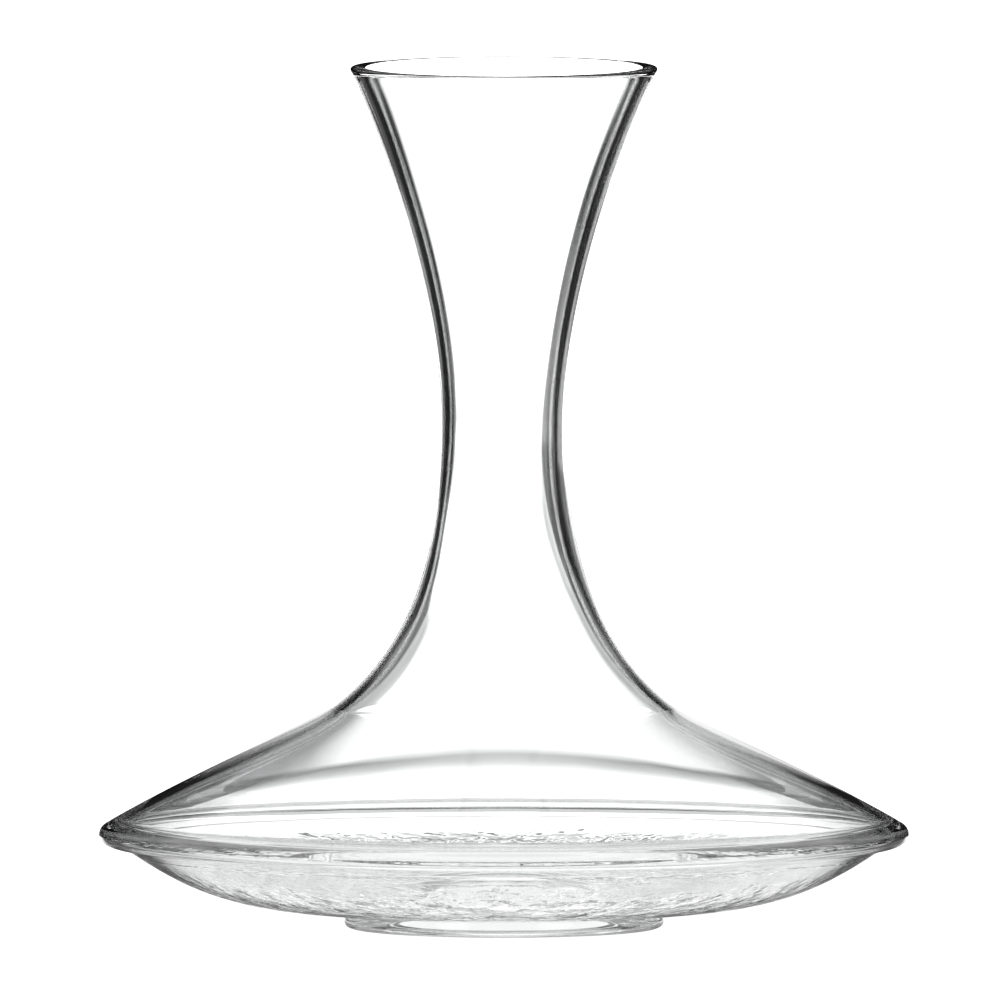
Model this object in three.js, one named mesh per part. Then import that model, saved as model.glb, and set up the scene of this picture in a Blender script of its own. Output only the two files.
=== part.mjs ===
// Wide-based wine decanter in clear glass: a flared neck, a sloping shoulder that ends in an
// overhanging lip, a shallow bowl with a domed floor, and a foot ring.
//
// Every piece is a solid of revolution about +Z. Profiles are written as (radius, height) in
// millimetres, with height 0 on the surface that the decanter stands on. The pieces are the portions
// of glass that are fused while hot; each seam between two of them is left open by SEAM_GAP.

import * as THREE from "three";

// Outside, with slopes in degrees from level
const HEIGHT = 240;
const MOUTH = { radius: 42.8, slope: 65.3 };
const WAIST = { radius: 17.4, height: 140 }; // the narrowest point of the neck
const NECK_SEAM = { radius: 47.7, height: 61.5, slope: 36 };
const RIM = { radius: 112.6, height: 26.1 }; // the widest point, on the shoulder's lip
const BOWL_SEAM = { radius: 106.3, height: 22.75, slope: 34 };
const FOOT = { radius: 44.4, height: 5, bore: 33 };
const REST = { inner: 34.2, outer: 41.4 }; // the flat ring on which the decanter stands

// Glass thickness
const MOUTH_WALL = 4.2;
const WAIST_WALL = 2.9;
const SHOULDER_WALL = 2.6;
const BOWL_WALL = 2.9;
const FLOOR_WALL = 3.8;

// Mouth: rounding of the level lip's outer and inner corners
const MOUTH_ROUND = { outer: 0.9, inner: 1.2 };

// Rim: rounding of the overhanging lip, and the fillet inside it, by its centre and size
const LIP_ROUND = 2.8;
const FILLET = { radius: 104.6, height: 27.3, round: 2 };

// Domed floor: its height, and where the inside of the floor starts to rise
const DOME_RISE = 8.5;
const FLOOR_RADIUS = 48;

// How far each curve runs along its end's own direction before it bends away
const PULL = { mouth: 28, aboveWaist: 32, belowWaist: 38, skirt: 25, shoulderTop: 7, shoulderRim: 24.5 };
const BOWL_PULL = { foot: 28, rim: 24.5, insideRim: 22, insideFloor: 22, domeEdge: 10, dome: 14 };

const SEAM_GAP = 0.3;
const TURNS = 64; // facets round the axis

const at = (radius, height) => new THREE.Vector2(radius, height);

// The unit vector at an angle in degrees, counted upwards from the outward direction.
const heading = (angle) => at(1, 0).rotateAround(at(0, 0), THREE.MathUtils.degToRad(angle));

// The point at a distance from another along a direction.
const shifted = (point, direction, distance) => point.clone().addScaledVector(direction, distance);

// Points of a cubic Bezier curve, both ends included.
function sweep(start, startPull, endPull, end, steps) {
  return new THREE.CubicBezierCurve(start, startPull, endPull, end).getPoints(steps);
}

// Points of an arc about a centre, between two angles in degrees.
function arc(centre, round, from, to, steps) {
  return Array.from({ length: steps + 1 }, (_, i) =>
    shifted(centre, heading(THREE.MathUtils.lerp(from, to, i / steps)), round));
}

// The outline of a wall's other face. It lies to the right of the direction of travel, and the wall
// goes evenly from its first thickness to its last.
function otherFace(outline, firstWall, lastWall) {
  const last = outline.length - 1;
  return outline.map((point, i) => {
    const before = outline[Math.max(0, i - 1)];
    const after = outline[Math.min(last, i + 1)];
    const along = after.clone().sub(before).normalize();
    return shifted(point, at(along.y, -along.x), THREE.MathUtils.lerp(firstWall, lastWall, i / last));
  });
}

// A named piece of glass, turned from a profile that runs anticlockwise round its section.
function turned(name, profile) {
  const startsOnAxis = profile[0].x === 0;
  const outline = startsOnAxis ? profile : [...profile, profile[0]];
  const geometry = new THREE.LatheGeometry(outline, TURNS).rotateX(Math.PI / 2);
  const clearGlass = new THREE.MeshStandardMaterial({
    color: 0xf4f7f7,
    metalness: 0,
    roughness: 0.02,
    transparent: true,
    opacity: 0.35,
  });
  const mesh = new THREE.Mesh(geometry, clearGlass);
  mesh.name = name;
  return mesh;
}

// Radius of the bowl's inner face at a height close to its seam.
function bowlInsideRadius(height) {
  const slope = THREE.MathUtils.degToRad(BOWL_SEAM.slope);
  const below = (BOWL_SEAM.height - height) / Math.tan(slope);
  return BOWL_SEAM.radius - BOWL_WALL / Math.sin(slope) - below;
}

// The mouth's level lip, from the outer face over both rounded corners to the inner face.
function mouthLip() {
  const { outer, inner } = MOUTH_ROUND;
  const facing = MOUTH.slope - 90;
  const outerCentre = at(MOUTH.radius - outer, HEIGHT - outer);
  const across = shifted(outerCentre, heading(facing), outer + inner - MOUTH_WALL);
  const climb = (HEIGHT - inner - across.y) / Math.sin(THREE.MathUtils.degToRad(MOUTH.slope));
  const innerCentre = shifted(across, heading(MOUTH.slope), climb);
  return [...arc(outerCentre, outer, facing, 90, 4), ...arc(innerCentre, inner, 90, facing + 180, 3)];
}

// Flared neck, from the fire-polished mouth down to the seam with the shoulder.
function makeNeck() {
  const lip = mouthLip();
  const waist = at(WAIST.radius, WAIST.height);
  const downhill = heading(-NECK_SEAM.slope);
  const seam = shifted(at(NECK_SEAM.radius, NECK_SEAM.height), downhill, -SEAM_GAP / 2);
  const flare = sweep(lip[0], shifted(lip[0], heading(MOUTH.slope), -PULL.mouth),
    at(WAIST.radius, WAIST.height + PULL.aboveWaist), waist, 8);
  const skirt = sweep(waist, at(WAIST.radius, WAIST.height - PULL.belowWaist),
    shifted(seam, downhill, -PULL.skirt), seam, 8);
  const outside = [...flare, ...skirt.slice(1)];
  const inside = [
    ...otherFace(flare, MOUTH_WALL, WAIST_WALL),
    ...otherFace(skirt, WAIST_WALL, SHOULDER_WALL).slice(1),
  ];
  return turned("neck", [...outside.toReversed(), ...lip.slice(1), ...inside.slice(1)]);
}

// Upper shell, from the neck's seam down and out to the lip at the widest point.
function makeShoulder() {
  const downhill = heading(-NECK_SEAM.slope);
  const seam = shifted(at(NECK_SEAM.radius, NECK_SEAM.height), downhill, SEAM_GAP / 2);
  const insideSeam = shifted(seam, heading(-NECK_SEAM.slope - 90), SHOULDER_WALL);
  const lip = arc(at(RIM.radius - LIP_ROUND, RIM.height), LIP_ROUND, -80, 60, 7);
  const fillet = arc(at(FILLET.radius, FILLET.height), FILLET.round, 59, BOWL_SEAM.slope - 90, 4);
  const underside = BOWL_SEAM.height + SEAM_GAP / 2;
  const edge = [at(bowlInsideRadius(underside), underside), at(BOWL_SEAM.radius, underside)];
  const outside = sweep(seam, shifted(seam, downhill, PULL.shoulderTop),
    shifted(lip.at(-1), heading(-31), -PULL.shoulderRim), lip.at(-1), 7);
  const inside = sweep(insideSeam, shifted(insideSeam, downhill, PULL.shoulderTop),
    shifted(fillet[0], heading(-31), -PULL.shoulderRim), fillet[0], 7);
  const around = [...inside.slice(0, -1), ...fillet, ...edge, ...lip, ...outside.toReversed().slice(1)];
  return turned("shoulder", around);
}

// Lower shell, from its seam under the lip to the domed floor.
function makeBowl() {
  const top = BOWL_SEAM.height - SEAM_GAP / 2;
  const bottom = FOOT.height + SEAM_GAP / 2;
  const floor = FOOT.height + FLOOR_WALL;
  const uphill = heading(BOWL_SEAM.slope);
  const outerTop = at(BOWL_SEAM.radius, top);
  const innerTop = at(bowlInsideRadius(top), top);
  const belly = sweep(at(FOOT.radius, bottom), at(FOOT.radius + BOWL_PULL.foot, bottom),
    shifted(outerTop, uphill, -BOWL_PULL.rim), outerTop, 8);
  const inside = sweep(innerTop, shifted(innerTop, uphill, -BOWL_PULL.insideRim),
    at(FLOOR_RADIUS + BOWL_PULL.insideFloor, floor), at(FLOOR_RADIUS, floor), 8);
  const underDome = sweep(at(0, FOOT.height + DOME_RISE), at(BOWL_PULL.dome, FOOT.height + DOME_RISE),
    at(FOOT.bore - BOWL_PULL.domeEdge, bottom), at(FOOT.bore, bottom), 6);
  const overDome = sweep(at(FLOOR_RADIUS, floor), at(FLOOR_RADIUS - 2 * BOWL_PULL.domeEdge, floor),
    at(BOWL_PULL.dome + FLOOR_WALL, floor + DOME_RISE), at(0, floor + DOME_RISE), 6);
  return turned("bowl", [...underDome, ...belly, ...inside, ...overDome.slice(1)]);
}

// Foot ring, fused under the bowl, with the flat ring that the decanter stands on.
function makeFoot() {
  const top = FOOT.height - SEAM_GAP / 2;
  const widest = at(FOOT.radius, FOOT.height * 0.4);
  const lowerEdge = sweep(at(REST.outer, 0), at(FOOT.radius - 1, 0), at(FOOT.radius, 0.8), widest, 4);
  const upperEdge = sweep(widest, at(FOOT.radius, 3.4), at(FOOT.radius - 1, top),
    at(FOOT.radius - 2.4, top), 4);
  const bore = sweep(at(FOOT.bore, top), at(FOOT.bore, 2), at(FOOT.bore, 0), at(REST.inner, 0), 4);
  return turned("foot", [...lowerEdge, ...upperEdge.slice(1), ...bore]);
}

const decanter = new THREE.Group();
decanter.add(makeNeck(), makeShoulder(), makeBowl(), makeFoot());

export default decanter;
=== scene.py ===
"""Looks of a clear glass wine decanter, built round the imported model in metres.

Each visual piece is a solid of revolution with the slight waviness of hand-blown glass, and replaces one
faceted CAD piece. The pieces meet face to face, and the joint faces between them are invisible, so that
light passes as it does through glass that is fused while hot.
"""

import math

import bpy
import numpy as np
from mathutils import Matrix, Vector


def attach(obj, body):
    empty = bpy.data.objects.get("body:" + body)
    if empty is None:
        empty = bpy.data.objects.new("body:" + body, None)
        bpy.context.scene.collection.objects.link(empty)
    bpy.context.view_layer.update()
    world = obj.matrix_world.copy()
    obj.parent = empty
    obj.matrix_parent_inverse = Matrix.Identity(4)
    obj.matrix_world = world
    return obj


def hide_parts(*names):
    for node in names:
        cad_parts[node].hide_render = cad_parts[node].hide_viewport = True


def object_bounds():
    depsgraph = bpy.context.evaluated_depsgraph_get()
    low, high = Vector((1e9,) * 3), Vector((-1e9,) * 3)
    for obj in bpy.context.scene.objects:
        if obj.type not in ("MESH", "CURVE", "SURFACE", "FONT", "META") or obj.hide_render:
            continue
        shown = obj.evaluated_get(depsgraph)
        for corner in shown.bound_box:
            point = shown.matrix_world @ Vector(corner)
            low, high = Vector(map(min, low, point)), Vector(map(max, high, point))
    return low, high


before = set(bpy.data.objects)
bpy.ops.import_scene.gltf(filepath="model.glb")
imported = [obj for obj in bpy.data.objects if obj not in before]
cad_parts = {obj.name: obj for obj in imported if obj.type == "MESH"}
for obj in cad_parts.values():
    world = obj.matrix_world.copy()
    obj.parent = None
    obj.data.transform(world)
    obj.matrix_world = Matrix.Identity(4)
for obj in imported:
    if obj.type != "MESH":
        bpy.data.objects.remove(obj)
cad_low, cad_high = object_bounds()

MM = 0.001
TURNS = 288             # facets round the axis
SHARP_EDGE = 40         # the least angle between two faces, in degrees, that stays a crisp edge
TINY = 1e-6             # points closer than this, in millimetres, are the same point

# ---- outline of the glass, as (radius, height) in millimetres ----

HEIGHT = cad_high.z / MM
RIM_RADIUS = cad_high.x / MM
MOUTH_RADIUS, MOUTH_SLOPE, MOUTH_WALL = 42.8, 65.3, 4.2
MOUTH_OUTER, MOUTH_INNER = 0.9, 1.2
WAIST_RADIUS, WAIST_HEIGHT, WAIST_WALL = 17.4, 140.0, 2.9
NECK_SEAM, NECK_SLOPE = np.array([47.7, 61.5]), 36.0
SHOULDER_WALL = 2.6
RIM_CURL, LIP_ROUND = 26.1, 2.8
BOWL_SEAM, BOWL_SLOPE, BOWL_WALL = np.array([106.3, 22.75]), 34.0, 2.9
FILLET, FILLET_ROUND = np.array([104.6, 27.3]), 2.0
FOOT_RADIUS, FOOT_HEIGHT, FOOT_BORE = 44.4, 5.0, 33.0
REST_INNER, REST_OUTER = 34.2, 41.4
FOOT_LEDGE = 2.4        # how far the foot's joint face stays inside its widest radius
FLOOR_WALL, DOME_RISE, FLOOR_RADIUS = 3.8, 8.5, 48.0

# Lengths of the curves' end handles
MOUTH_PULL, ABOVE_WAIST, BELOW_WAIST, SKIRT_PULL = 28, 32, 38, 25
SHOULDER_TOP, SHOULDER_RIM = 7, 24.5
BELLY_FOOT, BELLY_RIM, INSIDE_PULL, DOME_PULL, DOME_EDGE = 28, 24.5, 22, 14, 10
RIM_SLOPE = -31         # of the shoulder where it meets the lip, in degrees


def heading(angle):
    """The unit vector at an angle in degrees above the outward direction."""
    return np.array([math.cos(math.radians(angle)), math.sin(math.radians(angle))])


def sweep(start, start_pull, end_pull, end, steps):
    """Points of a cubic Bezier curve, both ends included."""
    t = np.linspace(0, 1, steps + 1)[:, None]
    points = [np.asarray(p, float) for p in (start, start_pull, end_pull, end)]
    weights = (1 - t) ** 3, 3 * t * (1 - t) ** 2, 3 * t * t * (1 - t), t ** 3
    return sum(w * p for w, p in zip(weights, points))


def arc(centre, radius, start, end, steps):
    """Points of an arc, with angles in degrees."""
    return np.array([centre + radius * heading(a) for a in np.linspace(start, end, steps + 1)])


def other_face(outline, first_wall, last_wall):
    """The wall's other face, to the right of the direction of travel."""
    along = np.gradient(outline, axis=0)
    along /= np.linalg.norm(along, axis=1)[:, None]
    wall = np.linspace(first_wall, last_wall, len(outline))[:, None]
    return outline + wall * np.column_stack((along[:, 1], -along[:, 0]))


def bowl_inside(height):
    """Radius of the bowl's inner face close to its seam."""
    slope = math.radians(BOWL_SLOPE)
    below = (BOWL_SEAM[1] - height) / math.tan(slope)
    return BOWL_SEAM[0] - BOWL_WALL / math.sin(slope) - below


# Each profile is a list of stretches (kind, points), anticlockwise round the section.
# The kinds are outside, inside and joint.

def mouth_lip():
    """The level lip, from the outer face over both rounded corners to the inner face."""
    facing = MOUTH_SLOPE - 90
    outer_centre = np.array([MOUTH_RADIUS - MOUTH_OUTER, HEIGHT - MOUTH_OUTER])
    across = outer_centre + (MOUTH_OUTER + MOUTH_INNER - MOUTH_WALL) * heading(facing)
    climb = (HEIGHT - MOUTH_INNER - across[1]) / heading(MOUTH_SLOPE)[1]
    inner_centre = across + climb * heading(MOUTH_SLOPE)
    return np.vstack((arc(outer_centre, MOUTH_OUTER, facing, 90, 12),
                      arc(inner_centre, MOUTH_INNER, 90, facing + 180, 10)))


def neck_profile():
    lip = mouth_lip()
    waist = np.array([WAIST_RADIUS, WAIST_HEIGHT])
    down = heading(-NECK_SLOPE)
    flare = sweep(lip[0], lip[0] - MOUTH_PULL * heading(MOUTH_SLOPE), waist + (0, ABOVE_WAIST), waist, 48)
    skirt = sweep(waist, waist - (0, BELOW_WAIST), NECK_SEAM - SKIRT_PULL * down, NECK_SEAM, 48)
    outside = np.vstack((flare, skirt[1:]))
    inside = np.vstack((
        other_face(flare, MOUTH_WALL, WAIST_WALL),
        other_face(skirt, WAIST_WALL, SHOULDER_WALL)[1:],
    ))
    return [("outside", outside[::-1]), ("outside", lip), ("inside", inside[1:]), ("joint", None)]


def shoulder_profile():
    down = heading(-NECK_SLOPE)
    inside_seam = NECK_SEAM + SHOULDER_WALL * heading(-NECK_SLOPE - 90)
    lip = arc(np.array([RIM_RADIUS - LIP_ROUND, RIM_CURL]), LIP_ROUND, -80, 60, 24)
    fillet = arc(FILLET, FILLET_ROUND, 59, BOWL_SLOPE - 90, 16)
    top, end = SHOULDER_TOP * down, SHOULDER_RIM * heading(RIM_SLOPE)
    outside = sweep(NECK_SEAM, NECK_SEAM + top, lip[-1] - end, lip[-1], 60)
    inside = sweep(inside_seam, inside_seam + top, fillet[0] - end, fillet[0], 60)
    under = np.array([BOWL_SEAM, lip[0]])
    edge = np.array([fillet[-1], (bowl_inside(BOWL_SEAM[1]), BOWL_SEAM[1])])
    return [("inside", inside), ("inside", fillet), ("inside", edge), ("joint", None),
            ("outside", under), ("outside", lip), ("outside", outside[::-1]), ("joint", None)]


def bowl_profile():
    floor = FOOT_HEIGHT + FLOOR_WALL
    up = heading(BOWL_SLOPE)
    inner_top = np.array([bowl_inside(BOWL_SEAM[1]), BOWL_SEAM[1]])
    foot_inner = np.array([FOOT_BORE, FOOT_HEIGHT])
    foot_outer = np.array([FOOT_RADIUS - FOOT_LEDGE, FOOT_HEIGHT])
    dome = sweep((0, FOOT_HEIGHT + DOME_RISE), (DOME_PULL, FOOT_HEIGHT + DOME_RISE),
                 foot_inner - (DOME_EDGE, 0), foot_inner, 40)
    belly = sweep((FOOT_RADIUS, FOOT_HEIGHT), (FOOT_RADIUS + BELLY_FOOT, FOOT_HEIGHT),
                  BOWL_SEAM - BELLY_RIM * up, BOWL_SEAM, 60)
    inside = sweep(inner_top, inner_top - INSIDE_PULL * up,
                   (FLOOR_RADIUS + INSIDE_PULL, floor), (FLOOR_RADIUS, floor), 60)
    rise = sweep((FLOOR_RADIUS, floor), (FLOOR_RADIUS - 2 * DOME_EDGE, floor),
                 (DOME_PULL + FLOOR_WALL, floor + DOME_RISE), (0, floor + DOME_RISE), 40)
    seat = np.array([foot_outer, (FOOT_RADIUS, FOOT_HEIGHT)])
    return [("outside", dome), ("joint", None), ("outside", seat), ("outside", belly), ("joint", None),
            ("inside", inside), ("inside", rise)]


def foot_profile():
    widest = np.array([FOOT_RADIUS, FOOT_HEIGHT * 0.4])
    outer_top = np.array([FOOT_RADIUS - FOOT_LEDGE, FOOT_HEIGHT])
    lower = sweep((REST_OUTER, 0), (FOOT_RADIUS - 1, 0), (FOOT_RADIUS, 0.8), widest, 14)
    upper = sweep(widest, (FOOT_RADIUS, 3.4), (FOOT_RADIUS - 1, FOOT_HEIGHT), outer_top, 14)
    bore = sweep((FOOT_BORE, FOOT_HEIGHT), (FOOT_BORE, 2), (FOOT_BORE, 0), (REST_INNER, 0), 14)
    rest = np.array([(REST_INNER, 0), (REST_OUTER, 0)])
    return [("outside", lower), ("outside", upper), ("joint", None),
            ("outside", bore), ("outside", rest)]


# ---- materials ----

class Graph:
    """Short calls for adding nodes to one tree."""

    def __init__(self, tree):
        self.nodes, self.links = tree.nodes, tree.links

    def add(self, kind, *values):
        node = self.nodes.new("ShaderNode" + kind)
        for socket, value in zip(node.inputs, values):
            self.put(socket, value)
        return node

    def put(self, socket, value):
        if isinstance(value, bpy.types.NodeSocket):
            self.links.new(value, socket)
        elif value is not None:
            socket.default_value = value

    def math(self, operation, *values):
        node = self.add("Math")
        node.operation = operation
        for socket, value in zip(node.inputs, values):
            self.put(socket, value)
        return node.outputs[0]

    def ramp(self, value, marks, low=0.0, high=1.0):
        """Piecewise linear level through (place, level) marks, with places between low and high."""
        share = self.math("DIVIDE", self.math("SUBTRACT", value, low), high - low)
        node = self.add("ValToRGB", share)
        stops = node.color_ramp.elements
        while len(stops) < len(marks):
            stops.new(0.5)
        for stop, (place, level) in zip(stops, marks):
            stop.position = (place - low) / (high - low)
            stop.color = (level, level, level, 1)
        return node.outputs[0]

    def noise(self, place, scale, detail):
        node = self.add("TexNoise")
        self.put(node.inputs["Vector"], place)
        self.put(node.inputs["Scale"], scale)
        self.put(node.inputs["Detail"], detail)
        return node.outputs["Fac"]


CLEAR, TINTED = (0.985, 0.99, 0.99, 1), (0.97, 0.98, 0.98, 1)
GLASS_IOR = 1.5
WAVE_HEIGHT, MOTTLE_HEIGHT = 0.015, 1.4     # in millimetres, as a bump


def glass_material(name):
    """Clear glass with the faint waves of hand-blown work, stronger and finer low in the bowl."""
    material = bpy.data.materials.new(name)
    material.use_nodes = True
    g = Graph(material.node_tree)
    shader = g.nodes["Principled BSDF"]
    place = g.add("TexCoord").outputs["Object"]
    x, y, z = g.add("SeparateXYZ", place).outputs
    radius = g.math("SQRT", g.math("ADD", g.math("MULTIPLY", x, x), g.math("MULTIPLY", y, y)))
    belly = g.math("MULTIPLY", g.ramp(z, [(0.012, 1), (0.02, 0)], 0, 0.04),
                   g.ramp(radius, [(0.046, 0), (0.056, 1), (0.085, 1), (0.1, 0.25)], 0, 0.12))
    waves = g.math("MULTIPLY", g.noise(place, 45.0, 1.0), WAVE_HEIGHT)
    mottle = g.math("MULTIPLY", g.math("MULTIPLY", g.noise(place, 150.0, 2.0), belly), MOTTLE_HEIGHT)
    bump = g.add("Bump")
    g.put(bump.inputs["Strength"], 1.0)
    g.put(bump.inputs["Distance"], MM)
    g.put(bump.inputs["Height"], g.math("ADD", waves, mottle))
    g.put(shader.inputs["Normal"], bump.outputs["Normal"])
    tint = g.add("MixRGB", g.noise(place, 30.0, 2.0), CLEAR, TINTED)
    g.put(shader.inputs["Base Color"], tint.outputs[0])
    film = g.ramp(g.noise(place, 90.0, 3.0), [(0.5, 0.0), (0.8, 0.02)])
    g.put(shader.inputs["Roughness"], film)
    g.put(shader.inputs["IOR"], GLASS_IOR)
    g.put(shader.inputs["Transmission Weight"], 1.0)
    return material


def joint_material():
    """The invisible face between two pieces that are fused."""
    material = bpy.data.materials.new("fused_joint")
    material.use_nodes = True
    g = Graph(material.node_tree)
    g.nodes.remove(g.nodes["Principled BSDF"])
    g.put(g.nodes["Material Output"].inputs["Surface"], g.add("BsdfTransparent").outputs[0])
    return material


# ---- meshes ----

def bell(place, middle, reach):
    """A smooth bump of height 1."""
    return np.exp(-((place - middle) / reach) ** 2)


def step(place, low, high):
    """A smooth rise from 0 at low to 1 at high."""
    t = np.clip((place - low) / (high - low), 0, 1)
    return t * t * (3 - 2 * t)


# The neck's uneven wall, in millimetres
SWELL, SWELL_REACH = 0.5, 22
LUMP_HEIGHT, THIN_HEIGHT = 130, 118
LEAN, LEAN_STARTS, LEAN_FULL = 0.3, 85, 110


def neck_swell(height, angle):
    """Extra glass on the neck's inner face, in millimetres.

    The bore leans a little. One side has a soft lump in it, and the other side is thinner there. The wall
    is even again at the seam and at the mouth.
    """
    side = np.cos(angle)
    lump = SWELL * bell(height, LUMP_HEIGHT, SWELL_REACH) * ((1 + side) / 2) ** 2
    thin = -SWELL * bell(height, THIN_HEIGHT, SWELL_REACH) * (1 - side) / 2
    lean = LEAN * side * step(height, LEAN_STARTS, LEAN_FULL)
    return (lump + thin + lean) * step(height, 63, 80) * step(HEIGHT - height, 1.5, 40)


def even(height, angle):
    """No extra glass."""
    return 0 * height * angle


def section(profile):
    """Corner points of a profile, and the kind of the band that follows each of them."""
    points, kinds = [], []
    for kind, stretch in profile:
        if stretch is None:
            kinds[-1] = kind
            continue
        if points and np.allclose(points[-1], stretch[0], atol=TINY):
            points.pop()
            kinds.pop()
        points += list(stretch)
        kinds += [kind] * len(stretch)
    if points[0][0] > 0 and np.allclose(points[0], points[-1], atol=TINY):
        points.pop()
        kinds.pop()
    return np.array(points, float), kinds


def turned(name, profile, swell, glass, joint):
    """A solid of revolution from a profile, with its joint faces in their own material."""
    points, kinds = section(profile)
    along = np.gradient(points, axis=0)
    along /= np.linalg.norm(along, axis=1)[:, None]
    earlier = kinds[-1:] + kinds[:-1]
    inner = np.array([kind == before == "inside" for kind, before in zip(kinds, earlier)])
    angles = np.arange(TURNS) * 2 * math.pi / TURNS
    extra = swell(points[:, 1, None], angles) * inner[:, None]
    radius = points[:, 0, None] + extra * along[:, 1, None]
    height = points[:, 1, None] - extra * along[:, 0, None]
    grid = MM * np.dstack((radius * np.cos(angles), radius * np.sin(angles), height))
    vertices, rings = [], []
    for (r, z), ring in zip(points, grid):
        if r < TINY:
            rings.append([len(vertices)] * TURNS)
            vertices.append((0, 0, z * MM))
        else:
            rings.append(range(len(vertices), len(vertices) + TURNS))
            vertices += ring.tolist()
    faces, slots = [], []
    closed = points[0][0] > 0
    for i in range(len(points) if closed else len(points) - 1):
        low, high = rings[i], rings[(i + 1) % len(points)]
        for k in range(TURNS):
            n = (k + 1) % TURNS
            faces.append(list(dict.fromkeys((low[k], low[n], high[n], high[k]))))
            slots.append(1 if kinds[i] == "joint" else 0)
    mesh = bpy.data.meshes.new(name)
    mesh.from_pydata(vertices, [], faces)
    mesh.materials.append(glass)
    mesh.materials.append(joint)
    mesh.polygons.foreach_set("material_index", slots)
    mesh.update()
    mesh.shade_smooth()
    mesh.set_sharp_from_angle(angle=math.radians(SHARP_EDGE))
    piece = bpy.data.objects.new(name, mesh)
    bpy.context.scene.collection.objects.link(piece)
    return piece


clear, joint = glass_material("clear_glass"), joint_material()
for node, profile, swell in (("neck", neck_profile, neck_swell), ("shoulder", shoulder_profile, even),
                             ("bowl", bowl_profile, even), ("foot", foot_profile, even)):
    piece = turned(node + "_glass", profile(), swell, clear, joint)
    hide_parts(node)
    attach(piece, "root")


# ---- studio ----
# The glass stands before a small bright panel in a dark room, so that its edges draw themselves dark. The
# camera itself sees plain white around it, and the panels show only in the glass. Lengths are in metres.

WHITE = 1.8             # of the far table, bright enough to stay white through several layers of glass
PANEL_WHITE = 0.8 * WHITE
PANEL_DISTANCE = 0.35
PANEL_BOTTOM = 0.036    # the back light's lower edge, level with the top of the black cards
TABLE_RADIUS = 0.5
TABLE_DROP = 0.0002     # keeps the table just clear of the foot
ORTHO_WIDTH = 0.2781
ELEVATION = 3.9         # of the camera, in degrees
CAMERA_DISTANCE = 2.0
CAMERA_TARGET = np.array([-0.0011, 0, 0.1192])

# What the glass sees is white in a few directions, and the dark between them draws its edges. The marks
# are (turn from straight back in degrees, level), for the outer table and for what lies beyond it. They
# were chosen to suit views from the front, the sides and the corners. From straight behind, where there is
# no bright direction, the glass looks grey.
TABLE_MARKS = [(13, 1), (17, 0.1), (36, 0.1), (40, 1), (50, 1), (54, 0.1), (74, 0.1), (78, 1), (102, 1),
               (106, 0.1), (122, 0.1), (126, 1), (144, 1), (148, 0.1)]
FAR_MARKS = [(12, 1), (15, 0), (75, 0), (78, 1), (102, 1), (105, 0), (122, 0), (126, 1), (144, 1),
             (148, 0)]


def light_panel(name, azimuth, across, upright, shift=0.0):
    """An upright panel that faces the decanter and is seen only in the glass.

    The levels of its light run through (distance from the middle, level) and (height, level) marks. The
    shift moves it sideways.
    """
    turn = math.radians(azimuth)
    out = np.array([math.sin(turn), math.cos(turn), 0])
    side = np.array([math.cos(turn), -math.sin(turn), 0])
    half, low, high = across[-1][0], upright[0][0], upright[-1][0]
    corners = [PANEL_DISTANCE * out + (shift + s * half) * side + (0, 0, z)
               for s, z in ((-1, low), (1, low), (1, high), (-1, high))]
    mesh = bpy.data.meshes.new(name)
    mesh.from_pydata(corners, [], [(0, 1, 2, 3)])
    span = mesh.uv_layers.new(name="span")
    for loop, place in zip(span.data, ((0, 0), (1, 0), (1, 1), (0, 1))):
        loop.uv = place
    panel = bpy.data.objects.new(name, mesh)
    bpy.context.scene.collection.objects.link(panel)
    material = bpy.data.materials.new(name)
    material.use_nodes = True
    material.node_tree.nodes.clear()
    g = Graph(material.node_tree)
    u, v, _ = g.add("SeparateXYZ", g.add("TexCoord").outputs["UV"]).outputs
    offset = g.math("MULTIPLY", g.math("ABSOLUTE", g.math("SUBTRACT", u, 0.5)), 2 * half)
    height = g.math("MULTIPLY_ADD", v, high - low, low)
    level = g.math("MULTIPLY", g.ramp(offset, across, 0, half), g.ramp(height, upright, low, high))
    front = g.math("SUBTRACT", 1.0, g.add("NewGeometry").outputs["Backfacing"])
    strength = g.math("MULTIPLY", g.math("MULTIPLY", level, front), PANEL_WHITE)
    glow = g.add("Emission", (1, 1, 1, 1), strength)
    lit = g.add("AddShader", glow.outputs[0], g.add("BsdfTransparent").outputs[0])
    g.put(g.add("OutputMaterial").inputs["Surface"], lit.outputs[0])
    mesh.materials.append(material)
    panel.visible_camera = False


def dark_flag(name, outline):
    """A black card beneath the back light, from (across, height) corners. It is seen only in the glass."""
    mesh = bpy.data.meshes.new(name)
    mesh.from_pydata([(x, PANEL_DISTANCE, z) for x, z in outline], [], [range(len(outline))])
    flag = bpy.data.objects.new(name, mesh)
    bpy.context.scene.collection.objects.link(flag)
    material = bpy.data.materials.new(name)
    material.use_nodes = True
    g = Graph(material.node_tree)
    g.put(g.nodes["Principled BSDF"].inputs["Base Color"], (0.02, 0.02, 0.02, 1))
    mesh.materials.append(material)
    flag.visible_camera = False


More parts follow.
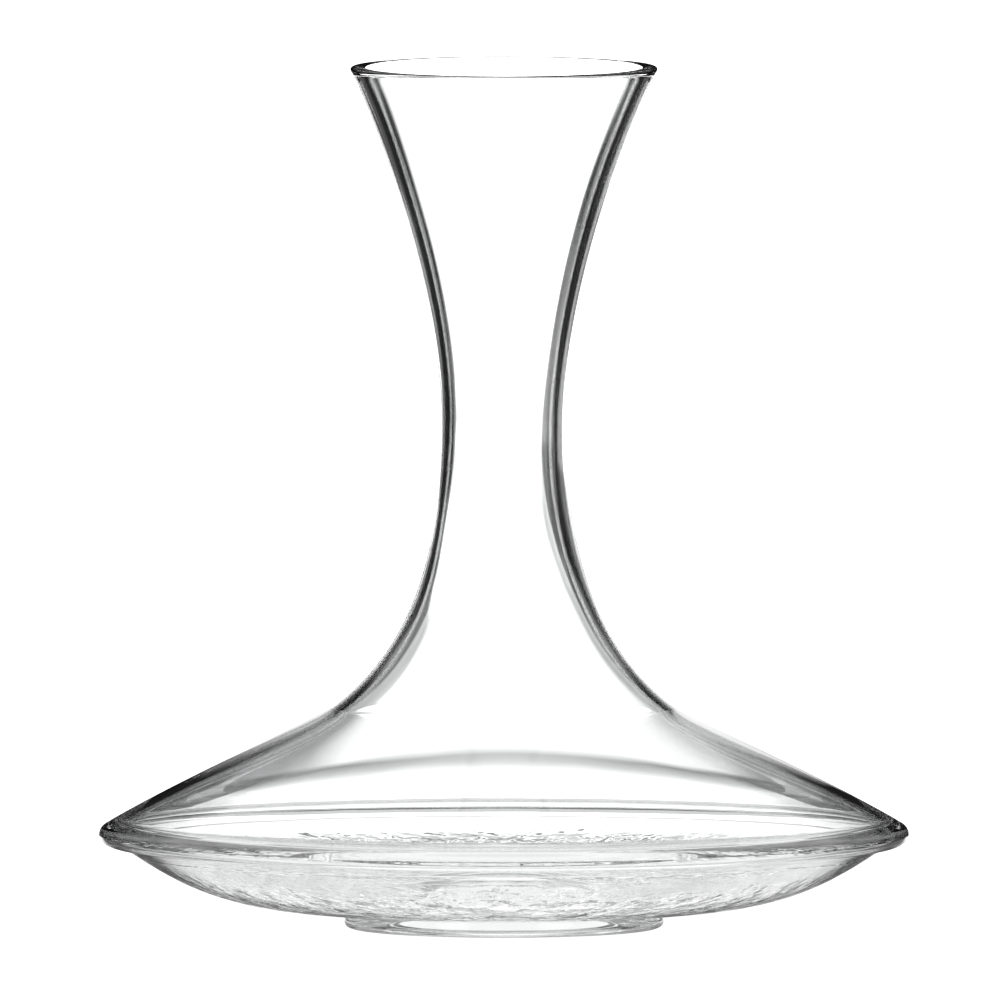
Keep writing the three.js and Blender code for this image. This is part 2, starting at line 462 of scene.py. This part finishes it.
def make_table():
    """A table that the camera sees plain white.

    For the glass, its light depends on the ray's own direction, which a real table's wouldn't. It carries
    painted shade beneath the bowl for rays at low angles and a painted shadow ring round the foot, and
    further out it is white only in the directions of its marks.
    """
    bpy.ops.mesh.primitive_circle_add(vertices=128, radius=TABLE_RADIUS, fill_type="NGON",
                                      location=(0, 0, -TABLE_DROP))
    table = bpy.context.object
    table.name = "studio_table"
    material = bpy.data.materials.new("studio_table")
    material.use_nodes = True
    g = Graph(material.node_tree)
    shader = g.nodes["Principled BSDF"]
    x, y, _ = g.add("SeparateXYZ", g.add("TexCoord").outputs["Object"]).outputs
    radius = g.math("SQRT", g.math("ADD", g.math("MULTIPLY", x, x), g.math("MULTIPLY", y, y)))
    back_x, back_y, slant = g.add("SeparateXYZ", g.add("NewGeometry").outputs["Incoming"]).outputs
    turn = g.math("ARCTAN2", g.math("MULTIPLY", back_x, -1.0), g.math("MULTIPLY", back_y, -1.0))
    turn = g.math("DEGREES", g.math("ABSOLUTE", turn))
    facing = g.ramp(turn, TABLE_MARKS, 0, 180)
    aside = g.math("MULTIPLY", g.math("SUBTRACT", 1.0, facing),
                   g.ramp(radius, [(0.13, 0), (0.18, 1)], 0, TABLE_RADIUS))
    # Painted shade beneath the bowl, set into the table's glow for rays at low angles.
    low_angle = g.ramp(slant, [(0.1, 0), (0.14, 1), (0.3, 1), (0.38, 0.4), (0.46, 0)])
    beneath = g.ramp(radius, [(0.036, 0), (0.046, 1), (0.14, 1), (0.16, 0)], 0, TABLE_RADIUS)
    shade = g.math("SUBTRACT", 1.0, g.math("MULTIPLY", low_angle, beneath))
    # Painted light and shade in the table's glow, by radius: dimmer from 0.125 to 0.17 m, and a painted
    # shadow ring round the foot from 0.038 to 0.048 m.
    bright = g.ramp(radius, [(0.1, 0.63), (0.125, 0.37), (0.17, 0.37), (0.25, 1)], 0, TABLE_RADIUS)
    painted_contact_shadow = g.ramp(radius, [(0.03, 1.5), (0.038, 0.5), (0.048, 0.5), (0.062, 1.5)], 0, TABLE_RADIUS)
    bright = g.math("MULTIPLY", g.math("MULTIPLY", bright, painted_contact_shadow), g.math("SUBTRACT", 1.0, aside))
    seen = g.add("LightPath").outputs["Is Camera Ray"]
    g.put(shader.inputs["Base Color"], (0.1, 0.1, 0.1, 1))
    g.put(shader.inputs["Roughness"], 0.7)
    g.put(shader.inputs["Emission Color"], (1, 1, 1, 1))
    g.put(shader.inputs["Emission Strength"], g.math("MAXIMUM", seen, g.math("MULTIPLY", bright, shade)))
    table.data.materials.append(material)


def make_world():
    """White for the camera, and for the glass a dark room with a bright ceiling and a white far table.

    The far table is white only in the directions of its marks.
    """
    world = bpy.data.worlds.new("studio")
    bpy.context.scene.world = world
    world.use_nodes = True
    g = Graph(world.node_tree)
    x, y, z = g.add("SeparateXYZ", g.add("TexCoord").outputs["Generated"]).outputs
    height = g.math("DEGREES", g.math("ARCSINE", z))
    turn = g.math("DEGREES", g.math("ABSOLUTE", g.math("ARCTAN2", x, y)))

    def by_height(*marks):
        return g.ramp(height, marks, -90, 90)

    def by_turn(*marks):
        return g.ramp(turn, marks, 0, 180)

    ceiling = g.math("MULTIPLY", by_height((-40, 1), (-30, 0), (29, 0), (33, 0.85), (50, 1)), 0.7)
    strip = g.math("MULTIPLY", by_turn((17, 0), (20, 0.12), (28, 0.12), (33, 0)),
                   by_height((-15, 0), (-12, 1), (-6, 1), (-3, 0)))
    sides = g.math("MULTIPLY", by_turn((20, 0), (26, 0.3)), by_height((10, 0), (14, 1), (28, 1), (32, 0)))
    walls = g.math("MAXIMUM", by_turn((60, 0.012), (72, 0.16)), g.math("MAXIMUM", strip, sides))
    far_table = g.math("MULTIPLY", by_height((-2.5, 1), (-1.9, 0)), by_turn(*FAR_MARKS))
    corner = g.math("MULTIPLY", by_height((-31, 0), (-28, 1), (-23.5, 1), (-22, 0)),
                    by_turn((36, 0), (40, 1), (50, 1), (54, 0)))
    below = g.math("MULTIPLY", g.math("MAXIMUM", far_table, corner), WHITE)
    room = g.math("MAXIMUM", g.math("MAXIMUM", ceiling, walls), below)
    seen = g.add("LightPath").outputs["Is Camera Ray"]
    g.put(g.nodes["Background"].inputs["Color"], g.math("MAXIMUM", seen, room))


def make_camera():
    """A parallel view from the front, slightly from above."""
    camera = bpy.data.cameras.new("camera")
    camera.type = "ORTHO"
    camera.ortho_scale = ORTHO_WIDTH
    holder = bpy.data.objects.new("camera", camera)
    bpy.context.scene.collection.objects.link(holder)
    elevation = math.radians(ELEVATION)
    back = np.array([0, -math.cos(elevation), math.sin(elevation)])
    holder.location = CAMERA_TARGET + CAMERA_DISTANCE * back
    holder.rotation_euler = (math.pi / 2 - elevation, 0, 0)
    bpy.context.scene.camera = holder


make_table()
make_world()
light_panel("back_light", 0,
            [(0.06, 1), (0.072, 0.4), (0.08, 0.4), (0.089, 0.52), (0.096, 0.45), (0.102, 0)],
            [(PANEL_BOTTOM, 0), (0.04, 1), (0.226, 1), (0.236, 0)], shift=0.01)
for side in (-1, 1):
    dark_flag("dark_flag", [(0.07 * side, PANEL_BOTTOM), (0.11 * side, 0), (0.25 * side, 0),
                            (0.25 * side, PANEL_BOTTOM)])
for side in (-90, 90):
    light_panel("side_light", side, [(0.09, 1), (0.1, 0)],
                [(PANEL_BOTTOM, 0), (0.045, 1), (0.215, 1), (0.225, 0)])
for side in (-135, 135):
    light_panel("corner_light", side, [(0.09, 1), (0.1, 0)],
                [(0.0, 0), (0.01, 1), (0.15, 1), (0.16, 0)])
make_camera()
scene = bpy.context.scene
scene.view_settings.view_transform = "Standard"
scene.cycles.max_bounces = 32
scene.cycles.transmission_bounces = 32
scene.cycles.glossy_bounces = 16
scene.cycles.transparent_max_bounces = 32
